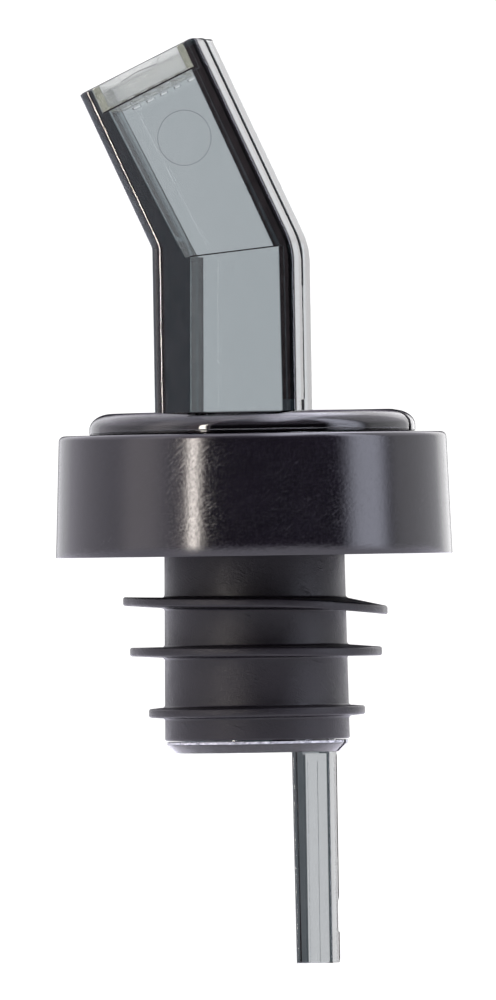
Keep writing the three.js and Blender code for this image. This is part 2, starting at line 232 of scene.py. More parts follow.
def v_groove(name, start, end, width, depth, y_face, way=1):
    """A V cutter between two (x, z) points in a face at y_face.

    way is +1 if the plastic lies towards +Y.
    """
    run = Vector((end[0] - start[0], end[1] - start[1])).normalized()
    side = Vector((-run.y, run.x)) * (width / 2)
    proud = 1.3                            # widening of the part that stands off the face
    verts = []
    for x, z in (start, end):
        verts += [(x + side.x * proud, y_face - way * depth * 0.3, z + side.y * proud),
                  (x - side.x * proud, y_face - way * depth * 0.3, z - side.y * proud),
                  (x, y_face + way * depth, z)]
    return make(name, verts, [(0, 1, 2), (5, 4, 3), (0, 3, 4, 1), (1, 4, 5, 2), (2, 5, 3, 0)])


def boolean(ob, tool, operation):
    """Applies the tool to the object and deletes the tool."""
    modifier = ob.modifiers.new("b", "BOOLEAN")
    modifier.operation = operation
    modifier.solver = "EXACT"
    modifier.object = tool
    depsgraph = bpy.context.evaluated_depsgraph_get()
    mesh = bpy.data.meshes.new_from_object(ob.evaluated_get(depsgraph))
    ob.modifiers.clear()
    old = ob.data
    ob.data = mesh
    bpy.data.meshes.remove(old)
    bpy.data.objects.remove(tool)


def cut(ob, tool):
    boolean(ob, tool, "DIFFERENCE")


def join(ob, tool):
    boolean(ob, tool, "UNION")


def cut_boxes(ob, boxes):
    for name, *ranges in boxes:
        cut(ob, box(name, *ranges))


def tidy(ob):
    clean_mesh(ob.data, drop_loose=True)
    return ob


def finish_mesh(ob, weighted=True):
    """Smooth shading with sharp creases; face-weighted normals keep flat faces flat."""
    for polygon in ob.data.polygons:
        polygon.use_smooth = True
    ob.data.set_sharp_from_angle(angle=math.radians(28.0))
    if weighted:
        modifier = ob.modifiers.new("weighted_normals", "WEIGHTED_NORMAL")
        modifier.mode = "FACE_AREA"
        modifier.weight = 90
        modifier.keep_sharp = True
    return ob


# ------------------------------------------------------------------ spout shells
# name, x range, y range, z range
STEM_CUTS = [
    ("socket_t", (3.6, 6.4), (-1.3, 1.3), (BORE_BOTTOM, 26.6)),
    ("air_t", (4.1, 6.0), (-0.9, 0.9), (25.6, 48.6)),
    ("slot_t", (4.15, 5.95), (-1.05, -0.45), (FLANGE_TOP + 0.0005, 50.15)),
    ("slotdrop_t", (4.15, 4.85), (-0.85, -0.45), (47.6, 49.95)),
]
SLIT_START, SLIT_PITCH = 2.65, 1.42        # across the leg
SLIT_WIDTHS = (0.78, 0.82, 0.7, 0.62, 0.85)
# the lower line of the notch: across the leg, distance back from its end
NOTCH_LINE = ((4.05, 0.66), (5.55, 0.5), (6.2, 0.53), (7.65, 0.66), (8.06, 0.2))
# groove ring on the front face: centre, and profile of (r, depth into the face)
RING_X, RING_Z = -5.0, 73.8
RING_PROFILE = [(2.41, -0.4), (2.52, -0.4), (2.465, 0.12)]


def outer_bend():
    """The right side of the elbow, upwards."""
    return arc(RIGHT - BEND_OUTER, ELBOW_Z - BEND_OUTER * math.tan(LEAN / 2), BEND_OUTER,
               0, LEAN_DEGREES, 12)


def spout_body():
    base = FLANGE_BOTTOM + 0.6
    right = outer_bend()
    left = arc(LEFT - BEND_INNER, ELBOW_Z - BEND_INNER * math.tan(LEAN / 2), BEND_INNER,
               LEAN_DEGREES, 0, 8)
    outline = [(LEFT, base), (RIGHT, base)] + right
    rim = len(outline)                     # the edge across the end of the leg
    outline += [leg(LEG_WIDTH, LEG_LENGTH), leg(0, LEG_LENGTH)] + left
    rounding = [1.0] * len(outline)
    rounding[0] = 0.0                      # hidden in the flange
    rounding[rim] = 0.28                   # the rim round the mouth is nearly square
    for k in range(rim + 1, len(outline)):
        rounding[k] = 2.0                  # the long edges inside the bend are rounder
    return prism("spout_body", outline, HALF_DEPTH, radius=EDGE_RADIUS, segments=8,
                 rounding=rounding)


def round_tip(body):
    """Rounds the right corner of the leg's end."""
    slack = 0.002                          # keeps the cutter just off the faces
    x, z = LEG_WIDTH - TIP_RADIUS, LEG_LENGTH - TIP_RADIUS
    outline = [(LEG_WIDTH, z), (LEG_WIDTH + 1, z), (LEG_WIDTH + 1, LEG_LENGTH + 1),
               (x, LEG_LENGTH + 1)]
    outline += arc(x, z, TIP_RADIUS + slack, 90, 0, 6)[:-1]
    outline.append((LEG_WIDTH + slack, z))
    cut(body, prism("tip_t", [leg(*point) for point in outline], 5))


def flange_shoulder(steps):
    """The elliptical upper corner of the flange, from its side to its top."""
    width, height = 2.0, 1.4
    angles = [math.radians(90 * i / steps) for i in range(steps + 1)]
    return [(FLANGE_RADIUS - width + width * math.cos(a),
             FLANGE_TOP - height + height * math.sin(a)) for a in angles]


def add_flange_and_stem(body):
    flange = [(0, FLANGE_BOTTOM), (14.35, FLANGE_BOTTOM)]
    flange += fillet((14.0, FLANGE_BOTTOM), (FLANGE_RADIUS, FLANGE_BOTTOM),
                     (FLANGE_RADIUS, 49.0), 0.12, 3)
    flange += flange_shoulder(24) + [(0, FLANGE_TOP)]
    join(body, lathe("flange_t", flange, 256))

    # the disc's side slopes out from foot to shoulder, then rises straight
    foot, shoulder = (7.35, DISC_BOTTOM), (DISC_RADIUS, 19.6)
    stem_top = FLANGE_BOTTOM + 0.4
    stem = [(0, DISC_BOTTOM), (STEM_RADIUS, DISC_BOTTOM)]
    stem += fillet((6.9, DISC_BOTTOM), foot, (DISC_RADIUS, 19.62), 0.14, 4)
    stem += fillet(foot, shoulder, (DISC_RADIUS, DISC_TOP), 0.12, 3)
    stem += fillet(shoulder, (DISC_RADIUS, DISC_TOP), (7.5, DISC_TOP), 0.05, 2)
    stem += [(STEM_RADIUS, DISC_TOP), (STEM_RADIUS, stem_top), (0, stem_top)]
    join(body, lathe("stem_t", stem, 192))


def cut_channel(body):
    """The pouring channel: a lower and an upper core that meet at the elbow."""
    lower = [(-5.12, 46.4), (3.57, 46.4), (3.45, 64.05), (-4.87, 63.50)]
    upper = [(-5.33, 63.12), (3.0, 63.95),
             leg(CHANNEL_RIGHT, LEDGE + 0.2), leg(CHANNEL_LEFT, LEDGE + 0.2)]
    cores = [prism(name, outline, half, radius=0.16, segments=3, rounding=[0, 1, 0, 1])
             for name, outline, half in (("lower_t", lower, CHANNEL_HALF),
                                         ("upper_t", upper, CHANNEL_HALF + 0.03))]
    for core in cores:
        cut(body, core)
    cut(body, leg_box("mouth_t", (MOUTH_LEFT, MOUTH_RIGHT), (-MOUTH_HALF, MOUTH_HALF),
                      (LEDGE, LEG_LENGTH + 4)))


def cut_notch_and_slits(body):
    notch = [leg(4.1, LEG_LENGTH - 0.78), leg(7.3, LEG_LENGTH - 0.62),
             leg(7.9, LEG_LENGTH + 0.4), leg(3.9, LEG_LENGTH + 0.4)]
    half = 0.5
    cut(body, prism("notch_t", notch, half, y_mid=-HALF_DEPTH - half + NOTCH_DEPTH))
    # slits just under the ledge, in the rear wall
    for i, width in enumerate(SLIT_WIDTHS):
        start = SLIT_START + i * SLIT_PITCH
        cut(body, leg_box("slit_t", (start, start + width),
                          (CHANNEL_HALF - 0.1, HALF_DEPTH - 0.12), (LEDGE - 0.27, LEDGE - 0.05)))


def cut_stem(body):
    bore = lathe("bore_t", [(0, BORE_BOTTOM), (BORE_RADIUS, BORE_BOTTOM),
                            (BORE_RADIUS, BORE_TOP), (0, BORE_TOP)], 96)
    cut(bore, box("flat_t", (BORE_FLAT_X, 20), (-20, 20), (10, 50)))
    cut(body, bore)
    cut_boxes(body, STEM_CUTS)


def cut_surface_lines(body):
    """The faint grooves on the front face and in the channel."""
    ring = lathe("ring_t", RING_PROFILE, 96, closed_ring=True)
    ring.data.transform(Matrix.Rotation(math.radians(-90), 4, "X"))
    ring.data.transform(Matrix.Translation((RING_X * MILLI, -HALF_DEPTH * MILLI,
                                            RING_Z * MILLI)))
    cut(body, ring)
    # where the two cores of the channel met
    cut(body, v_groove("witness_t", (-4.8, 63.2), (3.4, 64.02), width=0.13, depth=0.14,
                       y_face=-CHANNEL_HALF, way=-1))
    # along the rim
    rim = LEG_LENGTH - 0.045
    cut(body, v_groove("rim_t", leg(1.1, rim), leg(11.3, rim), width=0.08, depth=0.09,
                       y_face=-HALF_DEPTH))
    # along the lower side of the notch
    path = [leg(across, LEG_LENGTH - back) for across, back in NOTCH_LINE]
    for start, end in zip(path, path[1:]):
        cut(body, v_groove("gate_t", start, end, width=0.08, depth=0.07,
                           y_face=-HALF_DEPTH + NOTCH_DEPTH))


def build_shells():
    front = spout_body()
    round_tip(front)
    add_flange_and_stem(front)
    cut_channel(front)
    cut_notch_and_slits(front)
    cut_stem(front)
    cut_surface_lines(front)
    rear = bpy.data.objects.new("spout_rear", front.data.copy())
    scene.collection.objects.link(rear)
    front.name = "spout_front"
    for ob, y_range in ((front, (-30, -SEAM)), (rear, (SEAM, 30))):
        boolean(ob, box("half_t", (-30, 30), y_range, (-10, 120)), "INTERSECT")
    for ob in (front, rear):
        finish_mesh(tidy(ob))
    return front, rear


# ------------------------------------------------------------------ weld line, black as painted shade
def ribbon(path, outer, y0, y1):
    """A flat bead along a counter-clockwise path, standing out from it by outer."""
    inner = 0.06                           # how far it is sunk in
    count = len(path)
    verts, faces = [], []
    for i, (x, z) in enumerate(path):
        before, after = path[max(i - 1, 0)], path[min(i + 1, count - 1)]
        dx, dz = after[0] - before[0], after[1] - before[1]
        length = math.hypot(dx, dz)
        normal_x, normal_z = dz / length, -dx / length
        for offset in (-inner, outer):
            for y in (y0, y1):
                verts.append((x + normal_x * offset, y, z + normal_z * offset))
    for i in range(count - 1):
        k = 4 * i
        for a, b in ((0, 1), (1, 3), (3, 2), (2, 0)):
            faces.append((k + a, k + b, k + 4 + b, k + 4 + a))
    faces.append((0, 2, 3, 1))
    end = 4 * (count - 1)
    faces.append((end, end + 1, end + 3, end + 2))
    return verts, faces


def build_weld_shade():
    """The weld where the shells join: a thin bead along their outline. The joint is real; its
    black colour is painted shade.
    """
    bend = outer_bend()
    foot = (RIGHT, FLANGE_TOP + 1.05)
    corner = [leg(*point) for point in arc(LEG_WIDTH - TIP_RADIUS, LEG_LENGTH - TIP_RADIUS,
                                           TIP_RADIUS, 0, 90, 6)]
    flange = [(FLANGE_RADIUS, FLANGE_BOTTOM + 0.02)] + flange_shoulder(18)
    flange.append((RIGHT + 0.3, FLANGE_TOP))
    disc = [(STEM_RADIUS, DISC_BOTTOM), (7.33, DISC_BOTTOM + 0.02), (8.04, 19.6),
            (DISC_RADIUS, 19.88)]
    # path, height above the surface, y from, y to
    beads = [
        ([foot] + bend[:4], 0.035, -0.05, 0.05),
        (bend[3:] + corner + [leg(LEG_WIDTH - 0.8, LEG_LENGTH)], 0.05, -0.26, 0.26),
        ([(RIGHT, 60.4), (RIGHT, 62.0)] + bend[:5], 0.045, -0.14, 0.14),
        # painted shadow: a dark plate on the right face above the flange, in the end of the air
        # inlet
        ([(RIGHT, FLANGE_TOP + 0.02), (RIGHT, FLANGE_TOP + 1.0)], 0.02, -0.95, -0.15),
        (flange, 0.04, -0.25, 0.25),
        (disc, 0.04, -0.3, 0.3),
    ]
    verts, faces = [], []
    for bead in beads:
        bead_verts, bead_faces = ribbon(*bead)
        start = len(verts)
        verts += bead_verts
        faces += [tuple(i + start for i in face) for face in bead_faces]
    line = make("spout_weld_shade_line", verts, faces)

    # the fused web behind the line, in the thick wall on the outside of the bend, black as
    # painted shade
    inset = 0.1
    web = [(3.62, foot[1]), (RIGHT - inset, foot[1])]
    web += [(x - inset, z) for x, z in bend[:-1]]
    web += [leg(LEG_WIDTH - inset, LEG_LENGTH - 0.35), leg(10.66, LEG_LENGTH - 0.35),
            leg(10.66, LEDGE - 0.05), leg(10.34, LEDGE - 0.05), leg(10.38, -4.66), (3.49, 64.0)]
    join(line, prism("web_t", web, 0.05))
    return finish_mesh(line)


# ------------------------------------------------------------------ mouth
def build_screen():
    """An open box in the mouth: four walls and a perforated floor."""
    gap, plate = 0.05, 0.22                # clearance all round, thickness of the floor
    left, right, half = MOUTH_LEFT + gap, MOUTH_RIGHT - gap, MOUTH_HALF - gap
    low, high, top = LEDGE + gap, LEDGE + gap + plate, LEG_LENGTH - 0.06
    body = prism("mouth_screen_part",
                 [leg(left, low), leg(right, low), leg(right, top), leg(left, top)], half,
                 radius=0.05, segments=2)
    cut(body, leg_box("c_t", (left + 0.66, right - 0.62), (-half + 0.16, half - 0.16),
                      (high, top + 1), radius=0.1))
    columns, column_pitch, hole_half_width = 6, 1.37, 0.45
    rows, row_pitch, hole_half_depth = 3, 1.2, 0.42
    middle = (CHANNEL_LEFT + CHANNEL_RIGHT) / 2
    for i in range(columns):
        for j in range(rows):
            across = middle + (i - (columns - 1) / 2) * column_pitch
            y = (j - (rows - 1) / 2) * row_pitch
            cut(body, leg_box("h_t", (across - hole_half_width, across + hole_half_width),
                              (y - hole_half_depth, y + hole_half_depth),
                              (LEDGE - 2, LEDGE + 1.5), radius=0.12))
    return finish_mesh(tidy(body))


def build_screen_shade():
    """Painted shade: a dark strip along the front edge of the screen, where it sits on the
    ledge.
    """
    seat = LEDGE - 0.01
    return finish_mesh(tidy(leg_box("painted_shade_screen_edge", (1.26, 10.56),
                                    (-MOUTH_HALF - 0.05, -MOUTH_HALF + 0.12),
                                    (seat - 0.02, seat + 0.115))))


def build_rim_shade():
    """Painted shade: a narrow dark strip along the front edge of the mouth's rim."""
    depth, proud = 0.045, 0.004
    return finish_mesh(tidy(leg_box("painted_shade_rim", (0.35, LEG_WIDTH - 0.42),
                                    (-HALF_DEPTH - proud, -HALF_DEPTH + depth),
                                    (LEG_LENGTH - depth, LEG_LENGTH + proud))))


# ------------------------------------------------------------------ breather tail
TAIL_OUTLINE = [(3.62, 0.0), (TAIL_RIGHT, 0.0), (TAIL_RIGHT, 18.85), (3.48, 18.85)]
# section of the tail's bore: x, y
TAIL_BORE = [(4.72, -1.1), (6.66, -1.1), (6.08, 1.1), (4.15, 1.1)]
TAIL_BORE_Z = (-1, 18.7)
# drawing lines down the front face: x, width
DRAW_LINES = ((4.0, 0.05), (4.98, 0.07), (5.86, 0.06))
# cuts in the right face: a let-in rear corner, a fine groove down it, a nick at the foot
TAIL_CUTS = [
    ("win_t", (6.80, 8), (0.6, 3), (2.8, 5.6)),
    ("gr_t", (6.80, 8), (0.28, 0.36), (-1, 18.5)),
    ("nick_t", (6.68, 8), (-3, -1.2), (-0.2, 0.16)),
]


def build_tail():
    tube = prism("tail_part", TAIL_OUTLINE, TAIL_HALF, radius=0.2, segments=5,
                 rounding=[0.55, 1, 0, 1])
    # the spigot that goes up into the stem's socket
    join(tube, box("sp_t", (3.7, 6.3), (-1.2, 1.2), (18.2, 26.2)))
    cut(tube, make("bore_t", [(x, y, z) for z in TAIL_BORE_Z for x, y in TAIL_BORE],
                   [(3, 2, 1, 0), (4, 5, 6, 7),
                    (0, 1, 5, 4), (1, 2, 6, 5), (2, 3, 7, 6), (3, 0, 4, 7)]))
    cut(tube, box("bore2_t", (4.4, 5.9), (-0.75, 0.75), (18.6, 27)))
    for x, width in DRAW_LINES:
        cut(tube, v_groove("draw_t", (x - 0.02, -1), (x, 18.0), width, depth=0.035,
                           y_face=-TAIL_HALF))
    cut_boxes(tube, TAIL_CUTS)
    return finish_mesh(tidy(tube))


def build_tail_shade():
    """Painted shade: a dark strip on the rear edge of the tail's right face, broken at the
    let-in corner.
    """
    skin, rear = (6.9, 6.957), (1.02, 1.27)    # x range, y range
    edge = box("painted_shade_on_tail", skin, rear, (5.75, DISC_BOTTOM - 0.35))
    join(edge, box("edge_t", skin, (0.62, 0.72), (2.85, 5.55)))
    join(edge, box("edge2_t", skin, rear, (0.25, 2.7)))
    return finish_mesh(tidy(edge))


def build_disc_highlight():
    """Painted highlight: a pale ring round the top of the retaining disc, for the bright line
    along its edge.
    """
    (r0, r1), (z0, z1) = (7.95, 8.07), (19.66, 19.86)
    ob = lathe("painted_highlight_on_disc", [(r0, z0), (r1, z0), (r1, z1), (r0, z1)], 192,
               closed_ring=True)
    return finish_mesh(ob, weighted=False)


# ------------------------------------------------------------------ stopper
SLEEVE_RADIUS, SLEEVE_TAPER = 8.25, 0.2    # radius at the foot, and what it loses upwards
SLEEVE_BORE = 7.25
SLEEVE_BOTTOM, SLEEVE_TAPER_TOP = 20.0, 36.5
HEAD_RADIUS, HEAD_BOTTOM, HEAD_TOP = 12.4, 44.4, 45.55
FINS = ((22.5, 9.65), (27.9, 11.25), (32.2, 11.8))     # z, radius


def sleeve(z):
    """The sleeve's outer radius at a height."""
    rise = (z - SLEEVE_BOTTOM) / (SLEEVE_TAPER_TOP - SLEEVE_BOTTOM)
    return SLEEVE_RADIUS - SLEEVE_TAPER * max(0.0, min(1.0, rise))


def fin_profile(z, radius):
    root_low, root_high = z - 0.48, z + 0.48
    tip_low, tip_high = z - 0.40, z + 0.38
    steps = 5
    fractions = [k / steps for k in range(1, steps)]

    def flank(root, tip, places):
        start, end = sleeve(root) + 0.3, radius - 0.3
        return [(start + (end - start) * f, root + (tip - root) * f) for f in places]

    points = fillet((sleeve(z), z - 2), (sleeve(root_low), root_low), (radius, tip_low), 0.25, 4)
    points += flank(root_low, tip_low, fractions)
    points += fillet((radius - 1, tip_low), (radius, tip_low), (radius, tip_high), 0.2, 4)
    points += fillet((radius, tip_low), (radius, tip_high), (radius - 1, tip_high), 0.2, 4)
    points += flank(root_high, tip_high, [1 - f for f in fractions])
    points += fillet((radius, tip_high), (sleeve(root_high), root_high), (sleeve(z), z + 2),
                     0.25, 4)
    return points


def fin_lift(z, angle):
    """How far a fin's rim is bent up at an angle: a slow wave, and a droop to the right."""
    side = math.cos(angle - VIEW_AZIMUTH)      # 1 at the right of the view, -1 at the left
    droop = max(0.0, side)
    if z > 30:
        return 0.09 + 0.05 * math.sin(2 * angle + 1.1) - 0.77 * droop * droop
    if z > 25:
        return (0.03 + 0.04 * math.sin(2 * angle + 0.4) - 0.24 * droop
                + 0.06 * max(0.0, -side))
    return 0.05 * math.sin(2 * angle + 2.0) + 0.03 * math.cos(angle)


def bend_fins(ob):
    """Soft fins never sit quite flat, and the top one is also a little out of square."""
    root, reach = 8.2, 3.5                 # radius where bending starts, length bent in full
    top_fin_tilt = 0.13                    # drop on the right at the root radius
    for vert in ob.data.vertices:
        x, y, z = vert.co
        radius = math.hypot(x, y) / MILLI
        z /= MILLI
        angle = math.atan2(y, x)
        if radius > 8.3 and z < 36:
            vert.co.z += fin_lift(z, angle) * ((radius - root) / reach) * MILLI
        if 31.2 < z < 33.2:
            vert.co.z -= top_fin_tilt * math.cos(angle - VIEW_AZIMUTH) * radius / root * MILLI


def build_stopper():
    neck = SLEEVE_RADIUS - SLEEVE_TAPER
    profile = [(SLEEVE_BORE, SLEEVE_BOTTOM)]
    profile += fillet((SLEEVE_BORE, SLEEVE_BOTTOM), (SLEEVE_RADIUS, SLEEVE_BOTTOM),
                      (SLEEVE_RADIUS, 21.0), 0.18, 4)
    for z, radius in FINS:
        profile += fin_profile(z, radius)
    profile += [(neck, SLEEVE_TAPER_TOP), (neck, HEAD_BOTTOM), (HEAD_RADIUS, HEAD_BOTTOM)]
    profile += fillet((HEAD_RADIUS, HEAD_BOTTOM), (HEAD_RADIUS, HEAD_TOP), (11.0, HEAD_TOP),
                      0.2, 3)
    profile += [(SLEEVE_BORE, HEAD_TOP)]
    ob = lathe("stopper_part", profile, 256, closed_ring=True)
    bend_fins(ob)
    return finish_mesh(ob, weighted=False)


# ------------------------------------------------------------------ collar
COLLAR_BORE = 7.3
COLLAR_TOP, COLLAR_CEILING, COLLAR_BOTTOM = 47.3, 45.7, 36.42
SKIRT_INNER, SKIRT_OUTER = 15.8, 17.7


def build_collar():
    profile = [(COLLAR_BORE, COLLAR_CEILING)]
    profile += fillet((COLLAR_BORE, COLLAR_CEILING), (15.3, COLLAR_CEILING),
                      (SKIRT_INNER, COLLAR_BOTTOM), 0.8, 6)
    profile += fillet((SKIRT_INNER, 40), (SKIRT_INNER, COLLAR_BOTTOM), (17.0, COLLAR_BOTTOM),
                      0.12, 3)
    profile += fillet((16.4, COLLAR_BOTTOM), (SKIRT_OUTER, COLLAR_BOTTOM), (17.66, 38), 0.08, 3)
    # the outside tapers inwards as it rises
    steps, taper, rise = 8, 0.4, 10.8
    for k in range(1, steps):
        profile.append((SKIRT_OUTER - taper * k / steps, COLLAR_BOTTOM + rise * k / steps))
    profile += fillet((17.33, 46), (17.3, COLLAR_TOP), (15, COLLAR_TOP), 0.5, 8)
    profile += [(15.5, COLLAR_TOP), (14.0, COLLAR_TOP)]
    profile += fillet((8, COLLAR_TOP), (COLLAR_BORE, COLLAR_TOP), (COLLAR_BORE, 46), 0.12, 3)
    ob = lathe("collar_part", profile, 256, closed_ring=True)
    # it hangs loose on the stem, so it does not sit quite square
    depth_axis = Vector((-math.sin(VIEW_AZIMUTH), math.cos(VIEW_AZIMUTH), 0))
    tilt = Matrix.Rotation(math.radians(0.12), 4, depth_axis)
    pivot = Matrix.Translation((0, 0, 46.4 * MILLI))
    ob.data.transform(pivot @ tilt @ pivot.inverted())
    return finish_mesh(ob, weighted=False)


# ------------------------------------------------------------------ shader helpers
def set_inputs(tree, node, values):
    """Sets a node's inputs, by name or index, to a value or to another node's output."""
    for key, value in values.items():
        if isinstance(value, bpy.types.NodeSocket):
            tree.links.new(value, node.inputs[key])
        else:
            node.inputs[key].default_value = value


def add_node(tree, kind, inputs=None, **settings):
    node = tree.nodes.new("ShaderNode" + kind)
    for key, value in settings.items():
        setattr(node, key, value)
    set_inputs(tree, node, inputs or {})
    return node


def new_material(name):
    material = bpy.data.materials.new(name)
    material.use_nodes = True
    tree = material.node_tree
    tree.nodes.clear()
    output = add_node(tree, "OutputMaterial")
    principled = add_node(tree, "BsdfPrincipled")
    tree.links.new(principled.outputs[0], output.inputs[0])
    return material, tree, principled, output


def math_node(tree, operation, *values):
    return add_node(tree, "Math", dict(enumerate(values)), operation=operation).outputs[0]


def noise(tree, vector, scale, detail=4.0, roughness=0.5, distortion=0.0):
    return add_node(tree, "TexNoise", {
        "Scale": scale, "Detail": detail, "Roughness": roughness, "Distortion": distortion,
        "Vector": vector}).outputs["Fac"]


def ramp(tree, factor, *stops):
    """A colour ramp; each stop is a position and a grey value or a colour."""
    node = add_node(tree, "ValToRGB", {0: factor})
    elements = node.color_ramp.elements
    while len(elements) > 1:
        elements.remove(elements[-1])
    for i, (position, value) in enumerate(stops):
        colour = value if isinstance(value, tuple) else (value,) * 3
        element = elements.new(position) if i else elements[0]
        element.position = position
        element.color = (*colour, 1)
    return node.outputs[0]


def bump(tree, height, strength, distance):
    """A bump normal; the distance is in metres."""
    return add_node(tree, "Bump", {"Strength": strength, "Distance": distance,
                                   "Height": height}).outputs[0]


def in_mm(tree):
    """Object coordinates in mm."""
    place = add_node(tree, "TexCoord").outputs["Object"]
    return add_node(tree, "Mapping", {"Scale": (1000, 1000, 1000),
                                      "Vector": place}).outputs[0]


def unrolled(tree, radius, angle=0.0, scale=(1.0, 1.0)):
    """The unrolled side of a turned piece in mm, round and up, turned by angle and scaled."""
    place = add_node(tree, "TexCoord").outputs["Object"]
    x, y, z = add_node(tree, "SeparateXYZ", {0: place}).outputs
    around = math_node(tree, "MULTIPLY", math_node(tree, "ARCTAN2", y, x), radius)
    up = math_node(tree, "MULTIPLY", z, 1000.0)
    flat = add_node(tree, "CombineXYZ", {0: around, 1: up})
    turned = add_node(tree, "Mapping", {"Rotation": (0, 0, math.radians(angle)),
                                        "Vector": flat.outputs[0]})
    return add_node(tree, "Mapping", {"Scale": (*scale, 1),
                                      "Vector": turned.outputs[0]}).outputs[0]


def scuffs(tree, radius, angle, scale, low, high, patch_scale=0.22):
    """Fine parallel rubs in patches: 0 on clean surface, 1 on a rub.

    low and high are the noise levels where a rub starts and is full.
    """
    lines = noise(tree, unrolled(tree, radius, angle, scale), scale=1.0, detail=3.0,
                  roughness=0.6, distortion=0.3)
    patches = noise(tree, unrolled(tree, radius, angle + 20, (patch_scale, patch_scale)),
                    scale=1.0, detail=3.0)
    return math_node(tree, "MULTIPLY", ramp(tree, lines, (low, 0.0), (high, 1.0)),
                     ramp(tree, patches, (0.42, 0.15), (0.6, 1.0)))


def absorb(tree, output, colour, density):
    """Tints light by the distance it goes through the piece."""
    volume = add_node(tree, "VolumeAbsorption", {"Color": (*colour, 1), "Density": density})
    tree.links.new(volume.outputs[0], output.inputs["Volume"])


# ------------------------------------------------------------------ materials
def smoke_plastic(name, absorption):
    """Clear grey plastic; absorption is per metre in red, green and blue."""
    material, tree, principled, output = new_material(name)
    flow = noise(tree, in_mm(tree), scale=0.35, detail=3.0)
    set_inputs(tree, principled, {
        "Base Color": (1, 1, 1, 1),
        "Transmission Weight": 1.0,
        "IOR": 1.5,
        "Roughness": ramp(tree, flow, (0.3, 0.008), (0.75, 0.008 + 0.012)),
        "Normal": bump(tree, flow, strength=0.25, distance=0.00002),
    })
    # the density puts the strongest channel's absorption at 0.9 of the scale
    density = max(absorption) / 0.9
    absorb(tree, output, colour=[1 - a / density for a in absorption], density=density)
    return material


def natural_plastic():
    """Cloudy uncoloured plastic."""
    material, tree, principled, output = new_material("natural_plastic")
    place = in_mm(tree)
    cloud = noise(tree, place, scale=0.9, detail=3.0)
    grain = noise(tree, place, scale=9.0, roughness=0.6)
    set_inputs(tree, principled, {
        "Base Color": ramp(tree, cloud, (0.3, (0.93, 0.93, 0.92)), (0.75, (0.97, 0.97, 0.96))),
        "Transmission Weight": 0.94,
        "IOR": 1.34,
        "Roughness": ramp(tree, cloud, (0.3, 0.05), (0.75, 0.11)),
        "Normal": bump(tree, grain, strength=0.35, distance=0.00004),
    })
    absorb(tree, output, colour=(0.79, 0.775, 0.655), density=330.0)
    return material


def painted_edge_highlight():
    """Painted highlight: a pale edge broken by darker gaps."""
    material, tree, principled, _ = new_material("painted_edge_highlight")
    highlight_breaks = noise(tree, unrolled(tree, DISC_RADIUS, scale=(2.2, 6.0)), scale=1.0, detail=5.0,
                 roughness=0.7)
    set_inputs(tree, principled, {
        "Base Color": ramp(tree, highlight_breaks, (0.36, (0.03, 0.03, 0.035)), (0.5, (0.3, 0.31, 0.33)),
                           (0.66, (0.66, 0.66, 0.68))),
        "Roughness": 0.55,
        "Normal": bump(tree, highlight_breaks, strength=0.4, distance=0.00005),
    })
    return material


def painted_shade_black():
    # near black, for the painted shade strips and the weld's painted shade
    material, tree, principled, _ = new_material("painted_shade_black")
    grain = noise(tree, in_mm(tree), scale=5.0, detail=3.0)
    set_inputs(tree, principled, {
        "Base Color": ramp(tree, grain, (0.3, (0.003, 0.003, 0.004)),
                           (0.7, (0.008, 0.0075, 0.009))),
        "Roughness": 0.7,
        "Specular IOR Level": 0.1,
    })
    return material


def stopper_black():
    """Dull black, rubbed a little smoother in patches."""
    material, tree, principled, _ = new_material("stopper_black")
    place = in_mm(tree)
    grain = noise(tree, place, scale=5.0, detail=6.0, roughness=0.65)
    patch = noise(tree, place, scale=0.35, detail=5.0, roughness=0.65)
    rubs = scuffs(tree, radius=8.2, angle=25, scale=(0.6, 3.5), low=0.55, high=0.72,
                  patch_scale=0.3)
    rub_roughness = math_node(tree, "MULTIPLY", rubs, -0.08)
    height = math_node(tree, "ADD", grain, math_node(tree, "MULTIPLY", rubs, 0.6))
    set_inputs(tree, principled, {
        "Base Color": ramp(tree, patch, (0.3, (0.0022, 0.0017, 0.0026)),
                           (0.7, (0.0053, 0.0042, 0.0061))),
        "Roughness": math_node(tree, "ADD", ramp(tree, patch, (0.35, 0.34), (0.65, 0.46)),
                               rub_roughness),
        "Specular IOR Level": 0.26,
        "Normal": bump(tree, height, strength=0.6, distance=0.00006),
    })
    return material


def collar_black():
    """Glossy black with two sets of rubs at different slopes."""
    material, tree, principled, _ = new_material("collar_black")
    place = in_mm(tree)
    grain = noise(tree, place, scale=3.0, detail=6.0, roughness=0.62)
    speck = noise(tree, place, scale=5.5, detail=3.0, roughness=0.6)
    patch = noise(tree, place, scale=0.3, roughness=0.6)
    steep = scuffs(tree, radius=17.5, angle=-38, scale=(0.8, 5.5), low=0.56, high=0.70)
    flat = scuffs(tree, radius=17.5, angle=-14, scale=(0.4, 3.6), low=0.60, high=0.74,
                  patch_scale=0.16)
    rubs = math_node(tree, "MAXIMUM", steep, flat)
    rub_roughness = math_node(tree, "MULTIPLY", rubs, 0.08)
    height = math_node(tree, "SUBTRACT", grain, math_node(tree, "MULTIPLY", rubs, 0.33))
    set_inputs(tree, principled, {
        "Base Color": ramp(tree, patch, (0.3, (0.0022, 0.0017, 0.003)),
                           (0.7, (0.0042, 0.0034, 0.0055))),
        "Roughness": math_node(tree, "ADD", ramp(tree, speck, (0.42, 0.10), (0.62, 0.22)),
                               rub_roughness),
        "Normal": bump(tree, height, strength=0.29, distance=0.00003),
    })
    return material


